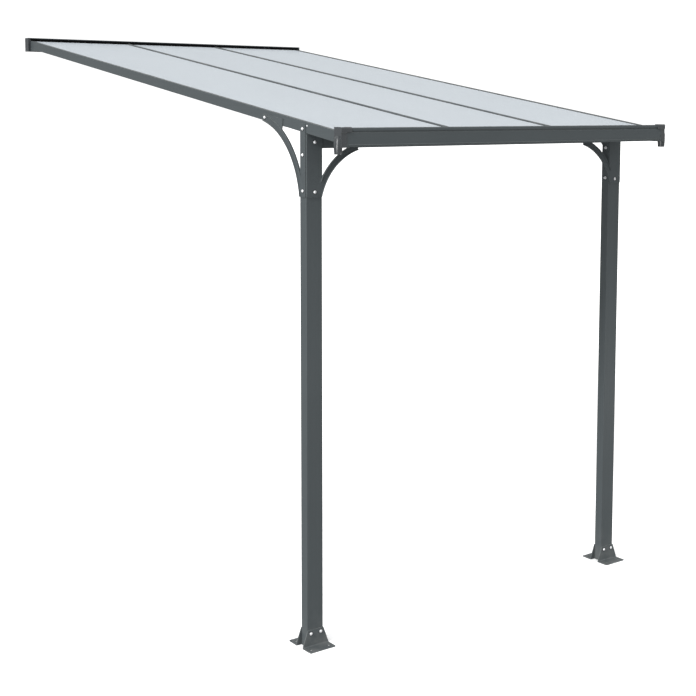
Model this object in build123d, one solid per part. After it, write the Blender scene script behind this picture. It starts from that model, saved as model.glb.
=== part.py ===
"""Lean-to patio cover: three clear sheets slope from a wall bar to a gutter on two posts.

Millimetres. X runs along the wall, -Y points away from the wall, +Z is up.
The origin is the centre of the wall bar's flat back, where it is screwed to the wall.
"""
from build123d import *
from math import cos, radians, sin, tan
import os

# Main sizes
roof_width = 1870.0          # over the outer faces of the gable rafters
projection = 3165.0          # wall to the gutter's front face
roof_pitch = 9.0             # degrees, falling away from the wall
gutter_clearance = 2120.0    # ground to the gutter's underside
post_setback = 265.0         # gutter's front face to the posts' front faces

# Wall bar
bar_height = 78.0
bar_depth = 48.0
bar_wall = 3.0
hood_lip = 20.0              # how far the front lip hangs below the bar's top
screw_radius = 4.0
screw_pairs = (250.0, 800.0, 1400.0)   # spacing of each pair of wall screws
screw_above_shelf = 16.0
end_cap_thickness = 14.0     # past the gable rafters' outer faces, here and at the gutter
end_cap_rim = 5.0
end_cap_recess = 1.5
cap_wall = 2.5

# Rafters, in a section square to the slope; heights are measured from the sheets' top face
rafter_depth = 42.0          # from the sheets' top face to the underside
rafter_wall = 2.0
gable_width = 24.0
gable_web = 2.5
gable_lip = 3.0
inner_width = 40.0
upstand = 4.0
cap_width = 28.0
cap_edge = 1.5
cap_crown = 5.0
heel_web = 3.0

# Roof sheets
sheet_thickness = 8.0
sheet_skin = 0.7
sheet_rib = 0.6
flute_pitch = 12.0
sheet_edge_gap = 1.0         # side of a sheet to the web or upstand beside it
sheet_top_setback = 20.0     # wall to the sheets' upper ends
sheet_end_setback = 26.0     # gutter's front face to the sheets' lower ends
strip_wall = 1.2
strip_depth = 14.0

# Gutter
gutter_height = 76.0
gutter_depth = 48.0
gutter_wall = 2.0
gutter_rise = 24.3           # gutter's top above the roof's plane at its front face
face_recess = 1.5            # flat front behind the roll and the bead
roll_depth = 12.0
roll_height = 16.5
roll_radius = 5.5
bead_height = 7.0
bead_radius = 2.0
groove_height = 3.5
sheet_flange = 12.0

# Gutter ends
sleeve_length = 52.0         # round the roll, from the cap's outer face
ledge_length = 38.0
apron_length = 29.0
chamber_length = 22.0
spout_radius = 17.5
outlet_radius = 15.5
spout_bore = 13.5
spout_behind_front = 20.5
spout_drop = 29.0
spout_shoulder = 34.0
spout_taper = 9.0

# Posts and beam
post_width = 80.0
post_depth = 45.0
post_wall = 2.0
post_corner = 2.5
beam_below_gutter = 12.0     # beam's underside below the gutter's underside
beam_wall = 2.5

# Arched braces
brace_plate = 4.0
brace_rim = 3.0
rim_rise = 4.0
brace_arm = 29.0
brace_lip = 0.5              # arch's crown below the beam or the rafter
pad_rise = 30.0
leg_end_radius = 8.0
leg_outer_inset = 1.5        # leg's edge inside the post's outer corner
leg_below_gutter = 212.0     # lower end of the legs
front_arch_below_gutter = 276.5    # level of the front arch's centre
front_arch_inset = 13.0      # how far its curve would run in behind the post's inner edge
front_leg_inset = 2.0        # leg's edge inside the post's inner edge
front_tip = 69.0             # end of the arch before its crown
front_pad = 50.0
side_arch_below_gutter = 258.6
side_leg_inset = 8.0         # the side arch springs from its leg's edge
side_tip = 30.0
side_pad = 149.0

# Feet
foot_width = 130.0
foot_depth = 60.0
foot_plate = 4.0
foot_rise = 75.0
foot_bend = 4.0
foot_corner = 6.0
anchor_radius = 5.5
anchor_spacing = 90.0
anchor_from_post = 35.0

# Places that follow from the sizes
slope = radians(roof_pitch)
half_width = roof_width / 2
front_y = -projection
bar_top = bar_height / 2
roof_at_bar = bar_top - hood_lip


def roof_z(y, height=0.0):
    """Level of the roof at a distance from the wall, raised or lowered square to the slope."""
    return roof_at_bar + (y + bar_depth) * tan(slope) + height / cos(slope)


gutter_top = roof_z(front_y) + gutter_rise
gutter_bottom = gutter_top - gutter_height
gutter_back_y = front_y + gutter_depth
ground = gutter_bottom - gutter_clearance
post_front_y = front_y + post_setback
post_back_y = post_front_y + post_depth
beam_bottom = gutter_bottom - beam_below_gutter
rafter_x = (half_width - gable_width) / 3


def rect(x0, y0, x1, y1):
    """Rectangle between two corners."""
    return Pos((x0 + x1) / 2, (y0 + y1) / 2) * Rectangle(x1 - x0, y1 - y0)


def outline(*points):
    """Straight-sided face, drawn anticlockwise whichever way round its corners are listed."""
    turn = sum(a[0] * b[1] - b[0] * a[1] for a, b in zip(points, points[1:] + points[:1]))
    return Polygon(*(points if turn > 0 else points[::-1]), align=None)


def block(x0, x1, y0, y1, z0, z1):
    """Box between two corners."""
    return Pos((x0 + x1) / 2, (y0 + y1) / 2, (z0 + z1) / 2) * Box(x1 - x0, y1 - y0, z1 - z0)


def along_wall(section, x0, x1):
    """Extrudes a section drawn in Y and Z along X."""
    return Pos(x0, 0, 0) * extrude(Plane.YZ * section, amount=x1 - x0, dir=(1, 0, 0))


def down_slope(section, start, end):
    """Extrudes a section drawn square to the slope from one distance down the slope to another."""
    run = Pos(0, -start, 0) * extrude(Plane.XZ * section, amount=end - start, dir=(0, -1, 0))
    return Pos(0, -bar_depth, roof_at_bar) * Rot(roof_pitch, 0, 0) * run


def plumb_cut(shape, y0, y1):
    """Keeps what lies between two upright planes across the roof."""
    return shape & block(-roof_width, roof_width, y0, y1, ground, bar_height)


def mirrored(shape):
    """The same piece for the other end of the cover."""
    return mirror(shape, about=Plane.YZ)


# Wall bar: back plate, hood over the sheets, and a closed shelf that carries the rafters
def wall_bar():
    inner = bar_wall
    hood = outline(
        (0, bar_top), (0, bar_top - inner), (inner - bar_depth, bar_top - inner),
        (inner - bar_depth, roof_z(inner - bar_depth)), (-bar_depth, roof_z(-bar_depth)),
        (-bar_depth, bar_top))
    back = rect(-inner, -bar_top, 0, bar_top)
    shelf = outline(
        (0, -bar_top), (-bar_depth, -bar_top), (-bar_depth, roof_z(-bar_depth, -rafter_depth)),
        (0, roof_z(0, -rafter_depth)))
    wall = rafter_wall
    hollow = outline(
        (-inner, wall - bar_top), (wall - bar_depth, wall - bar_top),
        (wall - bar_depth, roof_z(wall - bar_depth, -rafter_depth - wall)),
        (-inner, roof_z(-inner, -rafter_depth - wall)))
    bar = along_wall(hood + back + shelf - hollow, -half_width, half_width)
    screw_z = roof_z(0, -rafter_depth) + screw_above_shelf
    for spacing in screw_pairs:
        for side in (-1, 1):
            hole = Rot(90, 0, 0) * Cylinder(screw_radius, 4 * bar_wall)
            bar -= Pos(side * spacing / 2, 0, screw_z) * hole
    return bar


def wall_bar_end_cap():
    """Left end cap: a shallow shell with a sunk panel in its outer face."""
    def inset(edge):
        return rect(edge - bar_depth, edge - bar_top, -edge, bar_top - edge)

    outer = -half_width - end_cap_thickness
    panel_face = outer + end_cap_recess
    body = along_wall(inset(0), outer, -half_width)
    panel = along_wall(inset(end_cap_rim), outer, panel_face)
    pocket = along_wall(inset(cap_wall), panel_face + cap_wall, -half_width)
    return body - panel - pocket


# Rafters
rafter_end = (projection + bar_depth) / cos(slope)


def gable_rafter():
    """Left gable rafter: a box with a web and a lip that hold the sheet's edge."""
    x = -half_width
    box = rect(x, -rafter_depth, x + gable_width, -sheet_thickness)
    hollow = rect(x + rafter_wall, rafter_wall - rafter_depth,
                  x + gable_width - rafter_wall, -sheet_thickness - rafter_wall)
    web = rect(x, -sheet_thickness, x + gable_web, 0)
    lip = outline((x, 0), (x + gable_width, 0), (x + gable_width, gable_lip / 2),
                  (x + gable_web, gable_lip), (x, gable_lip))
    body = down_slope(box - hollow + web, -2 * bar_depth, rafter_end)
    cover = down_slope(lip, -2 * bar_depth, rafter_end)
    body = plumb_cut(body, gutter_back_y, -bar_wall)
    cover = plumb_cut(cover, gutter_back_y, -bar_depth)
    return body + cover


def inner_rafter(x):
    """Rafter under the joint of two sheets, with an upstand between their edges."""
    box = rect(x - inner_width / 2, -rafter_depth, x + inner_width / 2, -sheet_thickness)
    hollow = rect(x - inner_width / 2 + rafter_wall, rafter_wall - rafter_depth,
                  x + inner_width / 2 - rafter_wall, -sheet_thickness - rafter_wall)
    fin = rect(x - upstand / 2, -sheet_thickness, x + upstand / 2, 0)
    run = down_slope(box - hollow + fin, -2 * bar_depth, rafter_end)
    return plumb_cut(run, gutter_back_y, -bar_wall)


def rafter_cap(x):
    """Crowned strip that holds down the two sheets beside a rafter."""
    half = cap_width / 2
    top = ThreePointArc((x + half, cap_edge), (x, cap_crown), (x - half, cap_edge))
    rest = Polyline((x - half, cap_edge), (x - half, 0), (x + half, 0), (x + half, cap_edge))
    run = down_slope(make_face(top + rest), -2 * bar_depth, rafter_end)
    return plumb_cut(run, gutter_back_y, -bar_depth)


def heel_bracket():
    """Left gusset under the gable rafter's upper end: a web flush with the rafter and a flange below."""
    reach = (roof_z(-bar_depth, -rafter_depth) + bar_top) / tan(slope)
    web = outline((-bar_depth, -bar_top), (-bar_depth - reach, -bar_top),
                  (-bar_depth, roof_z(-bar_depth, -rafter_depth)))
    flange_end = -bar_depth - reach + heel_web / tan(slope)
    flange = rect(flange_end, -bar_top, -bar_depth, heel_web - bar_top)
    x = -half_width
    return along_wall(web, x, x + heel_web) + along_wall(flange, x, x + gable_width)


# Roof sheets
sheet_start = (sheet_top_setback - bar_depth) / cos(slope)
sheet_end = (projection - bar_depth - sheet_end_setback) / cos(slope)
bays = {
    "left": (-half_width + gable_web + sheet_edge_gap, -rafter_x - upstand / 2 - sheet_edge_gap),
    "middle": (-rafter_x + upstand / 2 + sheet_edge_gap, rafter_x - upstand / 2 - sheet_edge_gap),
    "right": (rafter_x + upstand / 2 + sheet_edge_gap, half_width - gable_web - sheet_edge_gap),
}


def roof_panel(x0, x1):
    """Twin-wall sheet with its flutes running down the slope."""
    count = int((x1 - x0 - sheet_rib) // flute_pitch)
    pitch = (x1 - x0 - sheet_rib) / count
    section = rect(x0, -sheet_thickness, x1, 0)
    for i in range(count):
        left = x0 + sheet_rib + i * pitch
        section -= rect(left, sheet_skin - sheet_thickness, left + pitch - sheet_rib, -sheet_skin)
    return down_slope(section, sheet_start, sheet_end)


def panel_end_strip(x0, x1):
    """Channel that closes the sheet's lower end over the gutter."""
    low = sheet_end + strip_wall
    front = down_slope(rect(x0, -sheet_thickness, x1, 0), sheet_end, low)
    top = down_slope(rect(x0, 0, x1, strip_wall), low - strip_depth, low)
    return front + top


# Gutter
def gutter_section():
    """Front wall with a bead and a rolled lip, floor, and a back wall that carries the sheets."""
    wall = gutter_wall
    face = front_y + face_recess
    floor = rect(face, gutter_bottom, gutter_back_y, gutter_bottom + wall)
    front = rect(face, gutter_bottom, face + wall, gutter_top - roll_height)
    bead = Pos(face + bead_radius - face_recess, gutter_bottom + bead_height) * Circle(bead_radius)
    roll_centre = Pos(front_y + roll_depth / 2, gutter_top - roll_height / 2)
    roll = RectangleRounded(roll_depth, roll_height, roll_radius)
    roll -= RectangleRounded(roll_depth - 2 * wall, roll_height - 2 * wall, roll_radius - wall)
    roll_bottom = gutter_top - roll_height
    groove = rect(face, roll_bottom - groove_height, face + wall, roll_bottom)
    neck = rect(face + wall, roll_bottom - groove_height - wall, face + 2 * wall, roll_bottom + wall)
    back = outline(
        (gutter_back_y, gutter_bottom), (gutter_back_y, roof_z(gutter_back_y, -sheet_thickness)),
        (gutter_back_y - wall, roof_z(gutter_back_y - wall, -sheet_thickness)),
        (gutter_back_y - wall, gutter_bottom))
    flange_y = gutter_back_y - sheet_flange
    flange = outline(
        (gutter_back_y, roof_z(gutter_back_y, -sheet_thickness)),
        (flange_y, roof_z(flange_y, -sheet_thickness)),
        (flange_y, roof_z(flange_y, -sheet_thickness - wall)),
        (gutter_back_y, roof_z(gutter_back_y, -sheet_thickness - wall)))
    return floor + front - groove + neck + bead + roll_centre * roll + back + flange


gutter_half = half_width + end_cap_thickness - chamber_length


def gutter():
    return along_wall(gutter_section(), -gutter_half, gutter_half)


def gutter_end_cap():
    """Left moulded gutter end: a chamber past the gutter's end, a hem on the roll and a spout."""
    outer = -half_width - end_cap_thickness
    skin = cap_wall
    low, high = gutter_bottom - skin, gutter_top + skin
    roll_bottom = gutter_top - roll_height
    crest_bottom = roll_bottom - skin
    back = gutter_back_y - gutter_wall
    crest = rect(front_y - skin, crest_bottom, gutter_back_y, high)
    crest = fillet(crest.vertices().sort_by_distance((front_y - skin, high))[0], roll_radius + skin)
    ledge = rect(front_y - skin, low, gutter_back_y, gutter_bottom)
    form = crest + ledge + rect(front_y, low, gutter_back_y, crest_bottom)
    inside = rect(front_y + skin, gutter_bottom, back, high)
    cap = along_wall(form, outer, outer + skin)
    cap += along_wall(form - inside, outer + skin, -half_width)

    # Between the gable's outer face and the gutter's end the back stays under the sheet
    front = form & rect(front_y - skin, low, front_y + skin, high)
    rear = rect(back, low, gutter_back_y, roof_z(back, -sheet_thickness))
    cap += along_wall(front + ledge + rear, -half_width, -gutter_half)

    # Over the gutter's end: hem round the roll, apron in the recessed face, ledge under the floor
    roll = Pos(front_y + roll_depth / 2, gutter_top - roll_height / 2)
    hem = rect(front_y - skin, crest_bottom, front_y, high)
    hem += rect(front_y, gutter_top - roll_radius, front_y + roll_depth, high)
    hem = (crest & hem) - roll * RectangleRounded(roll_depth, roll_height, roll_radius)
    bead_top = gutter_bottom + bead_height + bead_radius
    apron = rect(front_y, bead_top, front_y + face_recess, roll_bottom)
    cap += along_wall(hem, -gutter_half, outer + sleeve_length)
    cap += along_wall(apron, -gutter_half, outer + apron_length)
    cap += along_wall(ledge, -gutter_half, outer + ledge_length)

    # Spout: narrower at its outlet, bulging from the end face up to a tapered shoulder
    place = Pos(outer, front_y + spout_behind_front, gutter_bottom)
    spout = Pos(0, 0, -spout_drop / 2) * Cone(outlet_radius, spout_radius, spout_drop)
    spout += Pos(0, 0, spout_shoulder / 2) * Cylinder(spout_radius, spout_shoulder)
    top_radius = spout_radius - spout_taper
    spout += Pos(0, 0, spout_shoulder + spout_taper / 2) * Cone(spout_radius, top_radius, spout_taper)
    trough = block(outer + skin, 0, front_y + skin, back, gutter_bottom, gutter_top)
    bore_length = spout_shoulder + spout_drop
    bore = Pos(0, 0, spout_shoulder - bore_length / 2) * Cylinder(spout_bore, bore_length)
    return cap + (place * spout - trough) - place * bore


# Beam and posts
def front_beam():
    """Hollow beam between the posts, with its top cut to the rafters' slope."""
    top_front = roof_z(post_front_y, -rafter_depth)
    top_back = roof_z(post_back_y, -rafter_depth)
    wall = beam_wall
    shape = outline((post_front_y, beam_bottom), (post_back_y, beam_bottom),
                    (post_back_y, top_back), (post_front_y, top_front))
    hollow = outline(
        (post_front_y + wall, beam_bottom + wall), (post_back_y - wall, beam_bottom + wall),
        (post_back_y - wall, roof_z(post_back_y - wall, -rafter_depth - wall)),
        (post_front_y + wall, roof_z(post_front_y + wall, -rafter_depth - wall)))
    reach = half_width - post_width
    return along_wall(shape - hollow, -reach, reach)


def post():
    """Left post: a hollow section with rounded corners, its top cut to the rafters' slope."""
    top = roof_z(post_back_y, -rafter_depth)
    wall = post_wall
    section = RectangleRounded(post_width, post_depth, post_corner)
    section -= RectangleRounded(post_width - 2 * wall, post_depth - 2 * wall, post_corner - wall)
    x, y = -half_width + post_width / 2, (post_front_y + post_back_y) / 2
    shaft = Pos(x, y, ground) * extrude(section, amount=top - ground)
    above = outline((post_front_y, roof_z(post_front_y, -rafter_depth)),
                    (post_back_y, roof_z(post_back_y, -rafter_depth)),
                    (post_front_y, bar_top))
    return shaft - along_wall(above, -roof_width, roof_width)


# Arched braces, drawn flat with the post's inner edge at 0 across and the arch's centre at 0 up
def arch_brace(width, leg_inset, arch_inset, radius, tilt, tip, pad, leg_end, leg_top):
    """Flat brace: a leg on the post, an arch with raised rims, and a pad on the beam or the rafter."""
    outer_edge = leg_outer_inset - width
    reach = radius + 2 * brace_arm
    centre = Pos(radius - arch_inset, 0)
    crown = centre * Rot(0, 0, tilt)
    above_leg_end = rect(outer_edge, leg_end, reach, 2 * reach)
    kept = (crown * rect(-2 * reach, 0, -tip, reach)) & above_leg_end

    def ring(inner, outer):
        return (centre * (Circle(outer) - Circle(inner))) & kept

    leg = rect(outer_edge, leg_end, -leg_inset, leg_top)
    leg = fillet(leg.vertices().sort_by(Axis.Y)[-2:], leg_end_radius)
    seat = crown * rect(-tip - pad, radius - brace_arm, -tip, radius + brace_lip + pad_rise)
    plate = leg + ring(radius, radius + brace_arm) + (seat - centre * Circle(radius))
    plate = fillet(plate.vertices().sort_by(Axis.Y)[:2], leg_end_radius)
    rims = ring(radius, radius + brace_rim) + ring(radius + brace_arm - brace_rim, radius + brace_arm)
    raised = extrude(rims & plate, amount=brace_plate + rim_rise, dir=(0, 0, 1))
    return extrude(plate, amount=brace_plate, dir=(0, 0, 1)) + raised


def front_brace():
    """Left front brace, on the front faces of the post and the beam, reaching inwards."""
    level = gutter_bottom - front_arch_below_gutter
    radius = beam_bottom - brace_lip - level
    leg_top = roof_z(post_front_y, -rafter_depth) - level - brace_plate
    flat = arch_brace(post_width, front_leg_inset, front_arch_inset, radius, 0, front_tip, front_pad,
                      front_arch_below_gutter - leg_below_gutter, leg_top)
    edge = -half_width + post_width
    return Plane(origin=(edge, post_front_y, level), x_dir=(1, 0, 0), z_dir=(0, -1, 0)) * flat


def side_brace():
    """Left side brace, on the outer faces of the post and the gable rafter, reaching to the wall."""
    level = gutter_bottom - side_arch_below_gutter
    rise = roof_z(post_back_y - side_leg_inset, -rafter_depth) - level
    radius = (rise * cos(slope) - brace_lip) / (1 - sin(slope))
    leg_top = roof_z(post_front_y) - level - gable_lip
    flat = arch_brace(post_depth, side_leg_inset, side_leg_inset, radius, roof_pitch, side_tip, side_pad,
                      side_arch_below_gutter - leg_below_gutter, leg_top)
    flat = mirror(flat, about=Plane.YZ)
    corner = (-half_width, post_back_y, level)
    return Plane(origin=corner, x_dir=(0, -1, 0), z_dir=(-1, 0, 0)) * flat


# Feet
def foot(side):
    """Left foot bracket in front of the post (side -1) or behind it (side 1): a bent plate."""
    section = rect(0, 0, foot_depth, foot_plate) + rect(0, 0, foot_plate, foot_rise)
    inner_corner = section.vertices().sort_by_distance((foot_plate, foot_plate))[0]
    section = fillet(inner_corner, foot_bend)
    bent = extrude(Plane.YZ * section, amount=foot_width / 2, both=True)
    half, top = foot_width / 2, post_width / 2
    taper = outline((-half, 0), (half, 0), (half, 2 * foot_plate), (top, foot_rise),
                    (-top, foot_rise), (-half, 2 * foot_plate))
    bent = bent & (Pos(0, foot_depth, 0) * extrude(Plane.XZ * taper, amount=2 * foot_depth, both=True))
    bent = fillet(bent.edges().filter_by(Axis.Z).group_by(Axis.Y)[-1], foot_corner)
    for x in (-anchor_spacing / 2, anchor_spacing / 2):
        bent -= Pos(x, anchor_from_post, 0) * Cylinder(anchor_radius, 4 * foot_plate)
    if side < 0:
        bent = mirror(bent, about=Plane.XZ)
    edge = post_front_y if side < 0 else post_back_y
    return Pos(-half_width + post_width / 2, edge, ground) * bent


nodes = {
    "wall_bar": wall_bar(),
    "gutter": gutter(),
    "front_beam": front_beam(),
    "inner_rafter_left": inner_rafter(-rafter_x),
    "inner_rafter_right": inner_rafter(rafter_x),
    "rafter_cap_left": rafter_cap(-rafter_x),
    "rafter_cap_right": rafter_cap(rafter_x),
}
for bay, (x0, x1) in bays.items():
    nodes["roof_panel_" + bay] = roof_panel(x0, x1)
    nodes["panel_end_strip_" + bay] = panel_end_strip(x0, x1)
pairs = {
    "wall_bar_end_cap": wall_bar_end_cap(),
    "gable_rafter": gable_rafter(),
    "heel_bracket": heel_bracket(),
    "gutter_end_cap": gutter_end_cap(),
    "post": post(),
    "front_brace": front_brace(),
    "side_brace": side_brace(),
    "foot_front": foot(-1),
    "foot_rear": foot(1),
}
for name, shape in pairs.items():
    nodes[name + "_left"] = shape
    nodes[name + "_right"] = mirrored(shape)

os.makedirs("parts", exist_ok=True)
for name, shape in nodes.items():
    export_step(shape, "parts/" + name + ".step")
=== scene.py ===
"""Finishes and small fittings of the lean-to patio cover.

Metres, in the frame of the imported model: X along the wall, -Y away from it, +Z up.
"""
import bmesh
import bpy
from math import cos, pi, radians, sin, tan
from mathutils import Matrix, Vector


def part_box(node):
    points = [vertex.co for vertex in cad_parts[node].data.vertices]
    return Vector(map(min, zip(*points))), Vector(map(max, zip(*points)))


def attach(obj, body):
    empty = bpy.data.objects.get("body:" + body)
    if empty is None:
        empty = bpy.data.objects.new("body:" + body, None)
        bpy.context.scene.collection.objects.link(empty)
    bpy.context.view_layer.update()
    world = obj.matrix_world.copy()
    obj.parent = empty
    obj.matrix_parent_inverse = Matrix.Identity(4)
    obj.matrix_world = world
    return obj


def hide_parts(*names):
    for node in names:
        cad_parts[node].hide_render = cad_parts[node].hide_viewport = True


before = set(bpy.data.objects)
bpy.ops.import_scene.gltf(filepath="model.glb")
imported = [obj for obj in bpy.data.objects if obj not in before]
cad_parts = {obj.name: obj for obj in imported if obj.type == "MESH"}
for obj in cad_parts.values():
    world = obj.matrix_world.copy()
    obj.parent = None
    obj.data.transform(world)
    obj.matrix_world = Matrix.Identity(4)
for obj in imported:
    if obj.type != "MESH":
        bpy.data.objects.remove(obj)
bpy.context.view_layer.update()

# Sizes of the small fittings, in metres
ROOF_PITCH = radians(9)
BRACE_PLATE = 0.004
PAD_RADIUS = 0.0090          # rubber pad under a washer
PAD_HEIGHT = 0.0010
WASHER_RADIUS = 0.0072
WASHER_HEIGHT = 0.0012
HEAD_RADIUS = 0.0056
HEAD_HEIGHT = 0.0036
SOCKET_ACROSS = 0.0040
SOCKET_DEPTH = 0.0020
NUT_ACROSS = 0.0100
NUT_HEIGHT = 0.0050
COLLAR_RADIUS = 0.0043
COLLAR_HEIGHT = 0.0014
THREAD_RADIUS = 0.0030
THREAD_STICKS_OUT = 0.0045
THREAD_PITCH = 0.0010
BEAD_WIDTH = 0.0014          # rubber bead along a rafter cap or lip
BEAD_HEIGHT = 0.0013
BEAD_START = 0.001           # the beads stop this far from the caps' upper ends
BEAD_END = 0.020             # and this far from the lower ones
LIP_STRIP_THICKNESS = 0.0014      # black strip over the hood's front lip, drawn as rubber; it darkens the lip to a black band
LIP_STRIP_BELOW_TOP = 0.0045
HOOD_LIP = 0.020
SCREW_RADIUS = 0.0040

# Twin-wall sheets
FLUTE_PITCH = 0.012          # the flutes are at least this wide
EDGE_RIB = 0.0003            # half of the rib that closes a sheet's long edge

# Rounding of the modelled pieces' edges
EXTRUDED_EDGE = 0.0005
BAR_EDGE = 0.0006
PRESSED_EDGE = 0.0007
STRIP_EDGE = 0.0003

# Places of the bolts
BOLT_IN_RAFTER = 0.0145      # bolts through a gable rafter above its underside
BOLT_FROM_CORNER = 0.0185    # side leg's bolts behind the post's front face
SIDE_LEG_LOW = 0.0265        # bolts above the lower end of a side leg
SIDE_LEG_MIDDLE = 0.1740
FRONT_LEG_LOW = 0.0215       # bolts above the lower end of a front leg
FRONT_LEG_HIGH = 0.2256
PAD_FROM_TIP = 0.013         # side pad's bolt from the pad's end
SCREW_IN_LIP = 0.0115        # screw in a gable rafter below its top edge
SCREW_BEFORE_POST = 0.0088
FOOT_BOLT_HEIGHT = 0.059
FOOT_BOLT_SPACING = 0.050

# Braces: the arch's outer rim runs out above the lower bolts, where the leg is flat
SIDE_RIM_END = 0.100         # above the lower end of the leg
FRONT_RIM_END = 0.081
RIM_RUN_OUT = 0.012
RIM_ON_LEG = 0.0095          # this far inside the post's edge or further
SAME_LEVEL = 0.0001          # corners closer than this count as level
SAME_CORNER = 0.00001        # corners closer than this are one

# Camera
CAMERA_PLACE = (-3.8770, -7.2392, -0.3881)
CAMERA_YAW = radians(36.01)
CAMERA_DOWN = radians(5.49)
CAMERA_LENS = 66.40
CAMERA_SHIFT = -113 / 696


# Shader building

def put(tree, kind, feeds=None, **settings):
    """Adds a node to a tree, with its settings and what feeds its inputs."""
    node = tree.nodes.new("ShaderNode" + kind)
    for key, value in settings.items():
        setattr(node, key, value)
    for key, value in (feeds or {}).items():
        if isinstance(value, bpy.types.NodeSocket):
            tree.links.new(value, node.inputs[key])
        else:
            node.inputs[key].default_value = value
    return node


def math(tree, operation, a, b=0.0):
    return put(tree, "Math", {0: a, 1: b}, operation=operation).outputs[0]


def spread(tree, value, low, high, to_low=0.0, to_high=1.0):
    """Stretches a value from one range to another."""
    feeds = {"Value": value, "From Min": low, "From Max": high, "To Min": to_low, "To Max": to_high}
    return put(tree, "MapRange", feeds).outputs["Result"]


def tint(tree, amount, first, second):
    """Mixes two colours."""
    feeds = {"Factor": amount, 6: first, 7: second}
    return put(tree, "Mix", feeds, data_type="RGBA").outputs[2]


def noise(tree, place, scale, detail=2.0, roughness=0.5):
    feeds = {"Vector": place, "Scale": scale, "Detail": detail, "Roughness": roughness}
    return put(tree, "TexNoise", feeds).outputs["Fac"]


def effect(name, inputs, outputs):
    """Starts a node group with named inputs and outputs."""
    group = bpy.data.node_groups.new(name, "ShaderNodeTree")
    for label, kind, value in inputs:
        socket = group.interface.new_socket(name=label, in_out="INPUT", socket_type="NodeSocket" + kind)
        if value is not None:
            socket.default_value = value
    for label in outputs:
        group.interface.new_socket(name=label, in_out="OUTPUT", socket_type="NodeSocketFloat")
    return group, group.nodes.new("NodeGroupInput").outputs, group.nodes.new("NodeGroupOutput").inputs


def apply_effect(tree, group, feeds):
    node = tree.nodes.new("ShaderNodeGroup")
    node.node_tree = group
    for key, value in feeds.items():
        if isinstance(value, bpy.types.NodeSocket):
            tree.links.new(value, node.inputs[key])
        else:
            node.inputs[key].default_value = value
    return node.outputs


def powder_grain():
    """Fine orange-peel of a baked powder coat."""
    group, given, result = effect(
        "powder_grain", [("Place", "Vector", None), ("Grain", "Float", 0.0011)], ["Height", "Speckle"])
    scale = math(group, "DIVIDE", 1.0, given["Grain"])
    fine = noise(group, given["Place"], scale, 3.0, 0.6)
    coarse = noise(group, given["Place"], math(group, "MULTIPLY", scale, 0.18), 2.0)
    height = math(group, "ADD", math(group, "MULTIPLY", fine, 0.7), math(group, "MULTIPLY", coarse, 0.3))
    group.links.new(height, result["Height"])
    group.links.new(spread(group, fine, 0.35, 0.65), result["Speckle"])
    return group


def drawn_lines():
    """Faint lines that the extrusion press leaves along a profile."""
    group, given, result = effect(
        "drawn_lines", [("Place", "Vector", None), ("Stretch", "Vector", None), ("Lines", "Float", 420.0)],
        ["Height", "Shade"])
    feeds = {0: given["Place"], 1: given["Stretch"]}
    squeezed = put(group, "VectorMath", feeds, operation="MULTIPLY").outputs[0]
    lines = noise(group, squeezed, given["Lines"], 3.0, 0.55)
    bands = noise(group, squeezed, math(group, "MULTIPLY", given["Lines"], 0.12), 1.0)
    group.links.new(lines, result["Height"])
    shade = math(group, "ADD", math(group, "MULTIPLY", lines, 0.5), math(group, "MULTIPLY", bands, 0.5))
    group.links.new(spread(group, shade, 0.35, 0.65), result["Shade"])
    return group


def bright_edges():
    """Mask of the corners, where a coat thins and where a painted highlight stands in for the light that
    catches them.
    """
    group, given, result = effect(
        "bright_edges", [("Place", "Vector", None), ("Width", "Float", 0.002), ("Breakup", "Float", 0.4)],
        ["Edge"])
    rounded = put(group, "Bevel", {"Radius": given["Width"]}, samples=4).outputs["Normal"]
    flat = put(group, "NewGeometry").outputs["Normal"]
    alike = put(group, "VectorMath", {0: rounded, 1: flat}, operation="DOT_PRODUCT").outputs["Value"]
    edge = spread(group, alike, 0.995, 0.80)
    patches = spread(group, noise(group, given["Place"], 45.0, 3.0), 0.35, 0.65)
    kept = math(group, "SUBTRACT", 1.0, math(group, "MULTIPLY", given["Breakup"], patches))
    group.links.new(math(group, "MULTIPLY", edge, kept), result["Edge"])
    return group


def settled_dust():
    """Mask of the thin dust on faces that look up, thicker near the ground."""
    group, given, result = effect(
        "settled_dust", [("Place", "Vector", None), ("Ground", "Float", 0.0), ("Reach", "Float", 0.25)],
        ["Dust"])
    facing = put(group, "SeparateXYZ", {0: put(group, "NewGeometry").outputs["Normal"]}).outputs["Z"]
    lying = spread(group, facing, 0.3, 0.95)
    height = put(group, "SeparateXYZ", {0: given["Place"]}).outputs["Z"]
    above = math(group, "SUBTRACT", height, given["Ground"])
    low = spread(group, math(group, "DIVIDE", above, given["Reach"]), 1.0, 0.0)
    clouds = spread(group, noise(group, given["Place"], 14.0, 4.0, 0.6), 0.35, 0.70)
    both = math(group, "MAXIMUM", lying, math(group, "MULTIPLY", low, low))
    group.links.new(math(group, "MULTIPLY", both, clouds), result["Dust"])
    return group


# Lighter corner colour: partly worn coat, partly a painted highlight along the edges
WORN_COAT_AND_HIGHLIGHT = (0.15, 0.165, 0.165, 1)
DUST_ON_COAT = (0.30, 0.30, 0.285, 1)
DUST_ON_MOULDING = (0.30, 0.29, 0.26, 1)
DUST_ON_SHEET = (0.62, 0.61, 0.57, 1)
DARK_MOULDING = (0.034, 0.039, 0.043, 1)
LIGHT_MOULDING = (0.044, 0.050, 0.055, 1)
SHEET_TINT = (0.560, 0.607, 0.648, 1)
SHEET_HAZE = (0.570, 0.617, 0.656, 1)
SHEET_RIB = (0.64, 0.68, 0.72, 1)
GRAIN = powder_grain()
LINES = drawn_lines()
EDGES = bright_edges()
DUST = settled_dust()
GROUND = min(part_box(name)[0].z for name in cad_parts)


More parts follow.
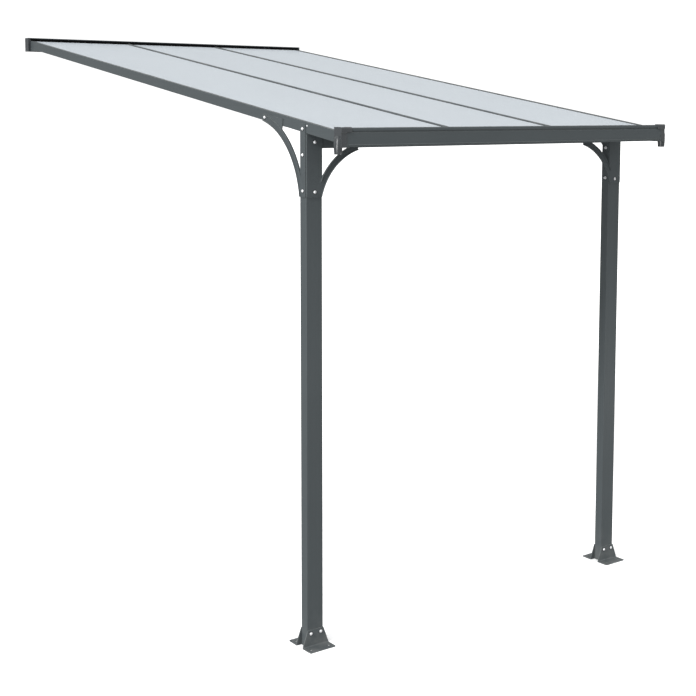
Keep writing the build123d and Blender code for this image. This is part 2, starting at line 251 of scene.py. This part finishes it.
def material(name, **settings):
    """New node material; the settings are constants on its own shader."""
    made = bpy.data.materials.new(name)
    made.use_nodes = True
    shader = made.node_tree.nodes["Principled BSDF"]
    for label, value in settings.items():
        shader.inputs[label.replace("_", " ")].default_value = value
    return made, made.node_tree, shader


def feed(tree, shader, **links):
    for label, value in links.items():
        tree.links.new(value, shader.inputs[label.replace("_", " ")])


def bumped(tree, height, distance, strength=1.0):
    feeds = {"Height": height, "Distance": distance, "Strength": strength}
    return put(tree, "Bump", feeds).outputs["Normal"]


def part_place(tree):
    return put(tree, "TexCoord").outputs["Object"]


def powder_coat(name, stretch, dark, light):
    """Anthracite powder coat over an extrusion or a pressed plate; stretch is small along the profile."""
    made, tree, shader = material(name, IOR=1.5, Specular_IOR_Level=0.14)
    place = part_place(tree)
    grain = apply_effect(tree, GRAIN, {"Place": place})
    lines = apply_effect(tree, LINES, {"Place": place, "Stretch": stretch})
    edges = apply_effect(tree, EDGES, {"Place": place, "Width": 0.0026, "Breakup": 0.25})
    dust = apply_effect(tree, DUST, {"Place": place, "Ground": GROUND})
    clouds = spread(tree, noise(tree, place, 3.0, 2.0), 0.3, 0.7)
    shade = math(tree, "MULTIPLY", lines["Shade"], 0.35)
    shade = math(tree, "ADD", shade, math(tree, "MULTIPLY", clouds, 0.4))
    shade = math(tree, "ADD", shade, math(tree, "MULTIPLY", grain["Speckle"], 0.25))
    coat = tint(tree, shade, dark, light)
    # painted highlight along the corners, mixed with worn coat
    coat = tint(tree, math(tree, "MULTIPLY", edges["Edge"], 0.85), coat, WORN_COAT_AND_HIGHLIGHT)
    coat = tint(tree, math(tree, "MULTIPLY", dust["Dust"], 0.24), coat, DUST_ON_COAT)
    rough = math(tree, "ADD", 0.36, math(tree, "MULTIPLY", grain["Speckle"], 0.08))
    rough = math(tree, "ADD", rough, math(tree, "MULTIPLY", dust["Dust"], 0.12))
    peel = bumped(tree, grain["Height"], 0.00006)
    feeds = {"Height": lines["Height"], "Distance": 0.00004, "Normal": peel}
    relief = put(tree, "Bump", feeds).outputs["Normal"]
    feed(tree, shader, Base_Color=coat, Roughness=rough, Normal=relief)
    return made


def moulded_grey(name, gloss):
    """Injection-moulded caps with a fine spark-eroded skin."""
    made, tree, shader = material(name, IOR=1.5, Specular_IOR_Level=gloss)
    place = part_place(tree)
    grain = apply_effect(tree, GRAIN, {"Place": place, "Grain": 0.0007})
    edges = apply_effect(tree, EDGES, {"Place": place, "Width": 0.0016, "Breakup": 0.2})
    dust = apply_effect(tree, DUST, {"Place": place, "Ground": GROUND})
    flow = spread(tree, noise(tree, place, 22.0, 2.0), 0.3, 0.7)
    skin = tint(tree, flow, DARK_MOULDING, LIGHT_MOULDING)
    # painted highlight along the corners of the moulding, mixed with wear
    skin = tint(tree, math(tree, "MULTIPLY", edges["Edge"], 0.6), skin, WORN_COAT_AND_HIGHLIGHT)
    skin = tint(tree, math(tree, "MULTIPLY", dust["Dust"], 0.08), skin, DUST_ON_MOULDING)
    rough = math(tree, "ADD", 0.21, math(tree, "MULTIPLY", grain["Speckle"], 0.06))
    feed(tree, shader, Base_Color=skin, Roughness=rough, Normal=bumped(tree, grain["Height"], 0.00005))
    return made


def flute_lines():
    """Ribs of a twin-wall sheet: a mask of the webs and the slight dip of the skin between them."""
    group, given, result = effect(
        "flute_lines", [("Across", "Float", 0.0), ("Start", "Float", 0.0), ("Pitch", "Float", 0.012)],
        ["Rib", "Height"])
    along = math(group, "DIVIDE", math(group, "SUBTRACT", given["Across"], given["Start"]), given["Pitch"])
    part = math(group, "FRACT", along)
    off = math(group, "ABSOLUTE", math(group, "SUBTRACT", part, 0.5))
    group.links.new(spread(group, off, 0.44, 0.49), result["Rib"])
    group.links.new(math(group, "POWER", math(group, "MULTIPLY", off, 2.0), 3.0), result["Height"])
    return group


FLUTES = flute_lines()


def twin_wall_sheet(bay):
    """Clear twin-wall sheet with a faint blue haze, its ribs drawn where the sheet has them."""
    low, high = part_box("roof_panel_" + bay)
    count = int((high.x - low.x) // FLUTE_PITCH)
    made, tree, shader = material("twin_wall_sheet_" + bay, IOR=1.45, Specular_IOR_Level=0.12)
    place = part_place(tree)
    across = put(tree, "SeparateXYZ", {0: place}).outputs["X"]
    pitch = (high.x - low.x - 2 * EDGE_RIB) / count
    flutes = apply_effect(tree, FLUTES, {"Across": across, "Start": low.x + EDGE_RIB, "Pitch": pitch})
    dust = apply_effect(tree, DUST, {"Place": place, "Ground": GROUND})
    haze = spread(tree, noise(tree, place, 2.2, 3.0), 0.3, 0.7)
    skin = tint(tree, haze, SHEET_TINT, SHEET_HAZE)
    skin = tint(tree, math(tree, "MULTIPLY", flutes["Rib"], 0.25), skin, SHEET_RIB)
    skin = tint(tree, math(tree, "MULTIPLY", dust["Dust"], 0.025), skin, DUST_ON_SHEET)
    cover = math(tree, "ADD", 0.74, math(tree, "MULTIPLY", flutes["Rib"], 0.14))
    cover = math(tree, "ADD", cover, math(tree, "MULTIPLY", dust["Dust"], 0.015))
    rough = math(tree, "ADD", 0.30, math(tree, "MULTIPLY", haze, 0.04))
    feed(tree, shader, Base_Color=skin, Alpha=cover, Roughness=rough,
         Normal=bumped(tree, flutes["Height"], 0.00012))
    return made


def closing_channel():
    """Grey plastic channel over the sheets' lower ends."""
    made, tree, shader = material("closing_channel", IOR=1.48)
    place = part_place(tree)
    grain = apply_effect(tree, GRAIN, {"Place": place, "Grain": 0.0009})
    lines = apply_effect(tree, LINES, {"Place": place, "Stretch": (0.03, 1.0, 1.0)})
    skin = tint(tree, lines["Shade"], (0.42, 0.44, 0.46, 1), (0.52, 0.54, 0.56, 1))
    rough = math(tree, "ADD", 0.38, math(tree, "MULTIPLY", grain["Speckle"], 0.10))
    feed(tree, shader, Base_Color=skin, Roughness=rough, Normal=bumped(tree, grain["Height"], 0.00004))
    return made


def zinc_steel():
    """Bright plated steel of the bolts, washers and nuts."""
    made, tree, shader = material("zinc_steel", Metallic=0.45)
    place = part_place(tree)
    spangle = spread(tree, noise(tree, place, 900.0, 3.0), 0.3, 0.7)
    skin = tint(tree, spangle, (0.84, 0.85, 0.86, 1), (0.94, 0.95, 0.96, 1))
    rough = math(tree, "ADD", 0.24, math(tree, "MULTIPLY", spangle, 0.14))
    feed(tree, shader, Base_Color=skin, Roughness=rough, Normal=bumped(tree, spangle, 0.00001))
    return made


def black_rubber():
    """Seals of black rubber."""
    made, tree, shader = material("black_rubber", IOR=1.5, Specular_IOR_Level=0.04)
    place = part_place(tree)
    grain = apply_effect(tree, GRAIN, {"Place": place, "Grain": 0.0006})
    skin = tint(tree, grain["Speckle"], (0.0015, 0.0015, 0.0017, 1), (0.0035, 0.0035, 0.0038, 1))
    rough = math(tree, "ADD", 0.70, math(tree, "MULTIPLY", grain["Speckle"], 0.15))
    feed(tree, shader, Base_Color=skin, Roughness=rough, Normal=bumped(tree, grain["Height"], 0.00004))
    return made


def nylon():
    """Pale nylon collar of a locking nut."""
    made, tree, shader = material("nylon", IOR=1.53)
    place = part_place(tree)
    cloud = noise(tree, place, 300.0, 2.0)
    feed(tree, shader, Base_Color=tint(tree, cloud, (0.55, 0.58, 0.62, 1), (0.70, 0.72, 0.75, 1)),
         Roughness=spread(tree, cloud, 0.0, 1.0, 0.32, 0.46))
    return made


DARK_COAT = (0.064, 0.074, 0.078, 1)
LIGHT_COAT = (0.076, 0.088, 0.093, 1)
COATS = {
    "upright": powder_coat("powder_coat_upright", (1.0, 1.0, 0.01), DARK_COAT, LIGHT_COAT),
    "across": powder_coat("powder_coat_across", (0.01, 1.0, 1.0), DARK_COAT, LIGHT_COAT),
    "slope": powder_coat("powder_coat_slope", (1.0, 0.01, 1.0), DARK_COAT, LIGHT_COAT),
    "plate": powder_coat("powder_coat_plate", (0.6, 0.6, 0.6), DARK_COAT, LIGHT_COAT),
}
GUTTER_MOULDING = moulded_grey("moulded_grey_gutter", 0.9)
BAR_MOULDING = moulded_grey("moulded_grey_bar", 0.25)
CHANNEL = closing_channel()
STEEL = zinc_steel()
RUBBER = black_rubber()
NYLON = nylon()


# Finishes of the modelled pieces

def soften(node, width, segments=2):
    """Rounds the sharp edges of a modelled piece by the radius that drawing or pressing leaves."""
    weld = node.modifiers.new("joined_corners", "WELD")
    weld.merge_threshold = 0.00002
    flat = node.modifiers.new("whole_faces", "DECIMATE")
    flat.decimate_type = "DISSOLVE"
    flat.angle_limit = radians(0.5)
    edge = node.modifiers.new("soft_edges", "BEVEL")
    edge.width = width
    edge.segments = segments
    edge.limit_method = "ANGLE"
    edge.angle_limit = radians(35)
    edge.harden_normals = True
    edge.loop_slide = False


def finish_node(name, coat, width=None):
    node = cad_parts[name]
    for place in node.material_slots:
        place.material = coat
    if width:
        soften(node, width)


SIDES = (("left", -1), ("right", 1))
for name in ("wall_bar", "gutter", "front_beam"):
    finish_node(name, COATS["across"], BAR_EDGE)
for side, _ in SIDES:
    for name in ("gable_rafter", "inner_rafter", "rafter_cap"):
        finish_node("%s_%s" % (name, side), COATS["slope"], EXTRUDED_EDGE)
    finish_node("post_" + side, COATS["upright"], EXTRUDED_EDGE)
    for name in ("heel_bracket", "foot_front", "foot_rear"):
        finish_node("%s_%s" % (name, side), COATS["plate"], PRESSED_EDGE)
    finish_node("wall_bar_end_cap_" + side, BAR_MOULDING, PRESSED_EDGE)
    finish_node("gutter_end_cap_" + side, GUTTER_MOULDING, PRESSED_EDGE)
for bay in ("left", "middle", "right"):
    finish_node("roof_panel_" + bay, twin_wall_sheet(bay))
    finish_node("panel_end_strip_" + bay, CHANNEL, STRIP_EDGE)


# Turned and drawn shapes

def turned(mesh, place, rows, slot, corners=36):
    """Adds rings about an axis.

    A row is a radius, a height and 1 where the ring is a hexagon of that half width.
    """
    rings = []
    for radius, height, hexagon in rows:
        ring = []
        for i in range(corners):
            angle = 2 * pi * i / corners
            reach = radius / cos((angle % (pi / 3)) - pi / 6) if hexagon else radius
            ring.append(mesh.verts.new(place @ Vector((reach * cos(angle), reach * sin(angle), height))))
        rings.append(ring)
    for lower, upper in zip(rings, rings[1:]):
        for i in range(corners):
            face = mesh.faces.new((lower[i - 1], lower[i], upper[i], upper[i - 1]))
            face.material_index = slot
            face.smooth = True
    for ring in (rings[0][::-1], rings[-1]):
        face = mesh.faces.new(ring)
        face.material_index = slot


def add_disc(mesh, place, radius, low, height, slot):
    """Flat ring with broken edges: a washer, or the pad under it."""
    edge = height * 0.25
    top = low + height
    turned(mesh, place, [(radius - edge, low, 0), (radius, low + edge, 0),
                         (radius, top - edge, 0), (radius - edge, top, 0)], slot)


def add_washers(mesh, place):
    """Rubber pad and steel washer; returns the level of the washer's face."""
    add_disc(mesh, place, PAD_RADIUS, 0.0, PAD_HEIGHT, 2)
    add_disc(mesh, place, WASHER_RADIUS, PAD_HEIGHT, WASHER_HEIGHT, 0)
    return PAD_HEIGHT + WASHER_HEIGHT


def add_dome(mesh, place, radius, base, scale=1.0, steps=7):
    """Domed head with a hexagon socket, standing on a base level."""
    rows = [(radius * 0.96, base, 0)]
    half = SOCKET_ACROSS / 2 * scale
    height, deep = HEAD_HEIGHT * scale, SOCKET_DEPTH * scale
    for i in range(steps + 1):
        turn = i / steps * pi / 2 * 0.72
        rows.append((max(radius * cos(turn), half * 1.25), base + height * (0.12 + sin(turn)), 0))
    top = rows[-1][1]
    rows += [(half * 1.04, top, 1), (half, top - deep * 0.08, 1), (half, top - deep, 1),
             (half * 0.5, top - deep * 1.25, 0)]
    turned(mesh, place, rows, 0)


def add_bolt_head(mesh, place):
    """Washers and a domed head."""
    add_dome(mesh, place, HEAD_RADIUS, add_washers(mesh, place))


def add_nut(mesh, place):
    """Washers, locking nut with its collar, and the bolt's threaded end."""
    half, chamfer, base = NUT_ACROSS / 2, 0.0006, add_washers(mesh, place)
    turned(mesh, place, [(half * 0.97, base, 0), (half, base + chamfer, 1),
                         (half, base + NUT_HEIGHT - chamfer, 1), (half * 0.97, base + NUT_HEIGHT, 0)], 0)
    top = base + NUT_HEIGHT
    turned(mesh, place, [(COLLAR_RADIUS, top, 0), (COLLAR_RADIUS, top + COLLAR_HEIGHT * 0.7, 0),
                         (THREAD_RADIUS * 1.1, top + COLLAR_HEIGHT, 0)], 1)
    rows, height = [], top + COLLAR_HEIGHT * 0.6
    while height < top + THREAD_STICKS_OUT:
        rows += [(THREAD_RADIUS * 0.88, height, 0), (THREAD_RADIUS, height + THREAD_PITCH / 2, 0)]
        height += THREAD_PITCH
    rows.append((THREAD_RADIUS * 0.72, height + THREAD_PITCH / 2, 0))
    turned(mesh, place, rows, 0)


def piece(name, mesh, materials, crease=30):
    """Makes a piece of the cover from a finished bmesh."""
    bmesh.ops.recalc_face_normals(mesh, faces=mesh.faces)
    data = bpy.data.meshes.new(name)
    mesh.to_mesh(data)
    mesh.free()
    for made in materials:
        data.materials.append(made)
    data.set_sharp_from_angle(angle=radians(crease))
    made = bpy.data.objects.new(name, data)
    bpy.context.scene.collection.objects.link(made)
    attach(made, "root")
    return made


def facing(point, direction, roll=0.0):
    """Place whose Z axis points in a direction."""
    turn = Vector(direction).to_track_quat("Z", "Y").to_matrix().to_4x4()
    return Matrix.Translation(Vector(point)) @ turn @ Matrix.Rotation(roll, 4, "Z")


def fasteners(name, heads, nuts, screws=()):
    """Bolt heads, nuts and small screws at (point, direction) places, each turned by its own angle."""
    mesh = bmesh.new()
    for point, direction in screws:
        add_dome(mesh, facing(point, direction), SCREW_RADIUS, 0.0, SCREW_RADIUS / HEAD_RADIUS)
    for i, (point, direction) in enumerate(heads):
        add_bolt_head(mesh, facing(point, direction, 0.7 * i))
    for i, (point, direction) in enumerate(nuts):
        add_nut(mesh, facing(point, direction, 0.4 + 0.9 * i))
    return piece(name, mesh, [STEEL, NYLON, RUBBER])


def run_out_brace(kind, side, outward, face, on_leg, rim_end):
    """Brace whose outer rim slopes down into the leg; outward is the axis that the rims stand up along."""
    node = "%s_brace_%s" % (kind, side)
    mesh = bmesh.new()
    mesh.from_mesh(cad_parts[node].data)
    bmesh.ops.remove_doubles(mesh, verts=mesh.verts, dist=SAME_CORNER)
    rim_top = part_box(node)[0].z + rim_end
    rim_foot = rim_top - RIM_RUN_OUT
    for level in (rim_top, rim_foot):
        parts = mesh.verts[:] + mesh.edges[:] + mesh.faces[:]
        bmesh.ops.bisect_plane(mesh, geom=parts, plane_co=(0, 0, level), plane_no=(0, 0, 1), dist=0.000001)
    for corner in mesh.verts:
        raised = abs(corner.co[outward]) > abs(face) + SAME_LEVEL
        if raised and corner.co.z < rim_foot + SAME_LEVEL and on_leg(corner.co):
            corner.co[outward] = face
    bmesh.ops.remove_doubles(mesh, verts=mesh.verts, dist=SAME_CORNER)
    bmesh.ops.dissolve_degenerate(mesh, edges=mesh.edges, dist=SAME_CORNER)
    made = piece("arched_" + node, mesh, [COATS["plate"]], crease=15)
    soften(made, PRESSED_EDGE)
    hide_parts(node)


def underside(y):
    """Level of the gable rafters' underside at a distance from the wall."""
    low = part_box("gable_rafter_left")[0]
    return low.z + (y - low.y) * tan(ROOF_PITCH)


def top_edge(y):
    """Level of the gable rafters' top edge at a distance from the wall."""
    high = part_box("gable_rafter_left")[1]
    return high.z + (y - high.y) * tan(ROOF_PITCH)


for side, s in SIDES:
    post_low, post_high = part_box("post_" + side)
    outer = s * max(abs(post_low.x), abs(post_high.x))
    inner = s * min(abs(post_low.x), abs(post_high.x))
    middle_x = (outer + inner) / 2
    side_low, side_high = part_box("side_brace_" + side)
    front_low, front_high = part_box("front_brace_" + side)
    rafter_low, rafter_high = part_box("gable_rafter_" + side)
    rafter_inner = s * min(abs(rafter_low.x), abs(rafter_high.x))
    run_out_brace("side", side, 0, outer + s * BRACE_PLATE,
                  lambda place: place.y < post_high.y - RIM_ON_LEG, SIDE_RIM_END)
    run_out_brace("front", side, 1, post_low.y - BRACE_PLATE,
                  lambda place: abs(place.x) > abs(inner) + RIM_ON_LEG, FRONT_RIM_END)
    out, back = (s, 0, 0), (-s, 0, 0)
    pad_y, leg_y = side_high.y - PAD_FROM_TIP, post_low.y + BOLT_FROM_CORNER
    screw_y = post_low.y - SCREW_BEFORE_POST
    side_places = [
        (pad_y, underside(pad_y) + BOLT_IN_RAFTER, rafter_inner),
        (leg_y, underside(leg_y) + BOLT_IN_RAFTER, rafter_inner),
        (leg_y, side_low.z + SIDE_LEG_MIDDLE, inner),
        (leg_y, side_low.z + SIDE_LEG_LOW, inner),
    ]
    fasteners("side_brace_bolts_" + side,
              [((outer + s * BRACE_PLATE, y, z), out) for y, z, _ in side_places],
              [((x, y, z), back) for y, z, x in side_places],
              [((outer, screw_y, top_edge(screw_y) - SCREW_IN_LIP), out)])
    front_places = [front_low.z + FRONT_LEG_HIGH, front_low.z + FRONT_LEG_LOW]
    fasteners("front_brace_bolts_" + side,
              [((middle_x, post_low.y - BRACE_PLATE, z), (0, -1, 0)) for z in front_places],
              [((middle_x, post_high.y, z), (0, 1, 0)) for z in front_places])
    foot_z = GROUND + FOOT_BOLT_HEIGHT
    foot_x = [middle_x - FOOT_BOLT_SPACING / 2, middle_x + FOOT_BOLT_SPACING / 2]
    fasteners("foot_bolts_" + side,
              [((x, post_low.y - BRACE_PLATE, foot_z), (0, -1, 0)) for x in foot_x],
              [((x, post_high.y + BRACE_PLATE, foot_z), (0, 1, 0)) for x in foot_x])


def run_section(mesh, section, start, end):
    """Runs a section of (x, height) corners from one place matrix to another."""
    first = [mesh.verts.new(start @ Vector((a, 0, b))) for a, b in section]
    last = [mesh.verts.new(end @ Vector((a, 0, b))) for a, b in section]
    for i in range(len(section)):
        mesh.faces.new((first[i - 1], first[i], last[i], last[i - 1])).smooth = True
    mesh.faces.new(first[::-1])
    mesh.faces.new(last)


def bead_section(x, toward, steps=5):
    """Quarter-round bead beside an edge at x, bulging one way."""
    points = [(x, 0.0)]
    for i in range(steps + 1):
        turn = pi / 2 * i / steps
        points.append((x + toward * BEAD_WIDTH * cos(turn), BEAD_HEIGHT * sin(turn)))
    return points if toward > 0 else points[::-1]


def slope_place(y):
    """Place on the sheets' top face, with X across and Z square to the slope."""
    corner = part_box("rafter_cap_left")
    top_low = corner[0].z
    level = top_low + (y - corner[0].y) * tan(ROOF_PITCH)
    turn = Matrix.Rotation(ROOF_PITCH, 4, "X")
    return Matrix.Translation((0, y, level)) @ turn


def sheet_seals():
    """Rubber beads beside the caps and lips on the sheets, and beside the rafters under them."""
    mesh = bmesh.new()
    start_y, end_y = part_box("rafter_cap_left")[1].y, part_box("rafter_cap_left")[0].y
    edges = []
    for side, s in SIDES:
        low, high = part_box("rafter_cap_" + side)
        edges += [(low.x, -1), (high.x, 1)]
        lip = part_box("gable_rafter_" + side)
        edges.append((s * min(abs(lip[0].x), abs(lip[1].x)), -s))
    start, end = slope_place(start_y - BEAD_START), slope_place(end_y + BEAD_END)
    for x, toward in edges:
        run_section(mesh, bead_section(x, toward), start, end)
    return piece("sheet_seals", mesh, [RUBBER])


def black_lip_strip():
    """Black strip, drawn as rubber, over the hood's front lip, darkening it to a black band; its nose runs
    down to the sheets.
    """
    low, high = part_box("wall_bar")
    depth = LIP_STRIP_THICKNESS
    face, top, lip = low.y, high.z - LIP_STRIP_BELOW_TOP, high.z - HOOD_LIP
    section = [(face, top), (face - depth, top - depth / 2), (face - depth, lip + 2 * depth),
               (face - 2 * depth, lip + depth / 2), (face - 2 * depth, lip), (face, lip)]
    mesh = bmesh.new()
    first = [mesh.verts.new((low.x, y, z)) for y, z in section]
    last = [mesh.verts.new((high.x, y, z)) for y, z in section]
    for i in range(len(section)):
        mesh.faces.new((first[i - 1], first[i], last[i], last[i - 1]))
    mesh.faces.new(first[::-1])
    mesh.faces.new(last)
    return piece("black_lip_strip", mesh, [RUBBER])


sheet_seals()
black_lip_strip()


# Floor, light and camera

DAYLIGHT = (0.787, 0.157, -0.597)         # from the upper left, a little from the front
SKY = 1.12
SKY_IN_GLOSS = 0.55                       # the dimmer room that the gloss mirrors
FLOOR_PAINT = (0.98, 0.98, 0.98, 1)
FLOOR_BOUNCE = (0.10, 0.10, 0.10, 1)      # what the floor throws back up at the cover
FLOOR_REACH = 150.0
DAYLIGHT_STRENGTH = 2.1
DAYLIGHT_SPREAD = radians(8)

# Panels of soft light: place, aim, width and height, power in watts
SIDE_PANEL = ((-7.2, -6.2, -0.8), (-0.9, -2.9, -1.0), (2.4, 3.4), 175.0)
FRONT_PANEL = ((2.3, -5.1, -2.5), (0.9, -2.9, -2.0), (1.2, 1.2), 21.0)


def studio_floor():
    made, tree, shader = material(
        "pale_floor", Roughness=0.9, Emission_Color=(1, 1, 1, 1), Emission_Strength=0.16)
    seen = put(tree, "LightPath").outputs["Is Camera Ray"]
    feed(tree, shader, Base_Color=tint(tree, seen, FLOOR_BOUNCE, FLOOR_PAINT))
    mesh = bmesh.new()
    reach = FLOOR_REACH
    corners = [(-reach, -reach), (reach, -reach), (reach, reach), (-reach, reach)]
    mesh.faces.new([mesh.verts.new((x, y, GROUND)) for x, y in corners])
    data = bpy.data.meshes.new("floor")
    mesh.to_mesh(data)
    mesh.free()
    data.materials.append(made)
    floor = bpy.data.objects.new("floor", data)
    bpy.context.scene.collection.objects.link(floor)


def soft_light(name, place, aim, size, power):
    data = bpy.data.lights.new(name, "AREA")
    data.shape = "RECTANGLE"
    data.size, data.size_y = size
    data.energy = power
    lamp = bpy.data.objects.new(name, data)
    lamp.location = place
    lamp.rotation_euler = (Vector(aim) - Vector(place)).to_track_quat("-Z", "Y").to_euler()
    bpy.context.scene.collection.objects.link(lamp)


def studio():
    world = bpy.data.worlds.new("studio")
    world.use_nodes = True
    backdrop = world.node_tree.nodes["Background"]
    backdrop.inputs["Color"].default_value = (1.0, 1.0, 1.0, 1)
    mirrored = put(world.node_tree, "LightPath").outputs["Is Glossy Ray"]
    strength = spread(world.node_tree, mirrored, 0.0, 1.0, SKY, SKY_IN_GLOSS)
    world.node_tree.links.new(strength, backdrop.inputs["Strength"])
    bpy.context.scene.world = world
    daylight = bpy.data.lights.new("daylight", "SUN")
    daylight.energy = DAYLIGHT_STRENGTH
    daylight.angle = DAYLIGHT_SPREAD
    lamp = bpy.data.objects.new("daylight", daylight)
    lamp.rotation_euler = Vector(DAYLIGHT).to_track_quat("-Z", "Y").to_euler()
    bpy.context.scene.collection.objects.link(lamp)
    soft_light("side_panel", *SIDE_PANEL)
    soft_light("front_panel", *FRONT_PANEL)
    bpy.context.scene.view_settings.view_transform = "Standard"


def camera():
    data = bpy.data.cameras.new("camera")
    data.lens = CAMERA_LENS
    data.sensor_width = 36.0
    data.shift_y = CAMERA_SHIFT
    data.clip_start, data.clip_end = 0.1, 400.0
    eye = bpy.data.objects.new("camera", data)
    eye.location = CAMERA_PLACE
    eye.rotation_euler = (pi / 2 - CAMERA_DOWN, 0, -CAMERA_YAW)
    bpy.context.scene.collection.objects.link(eye)
    bpy.context.scene.camera = eye


studio_floor()
studio()
camera()
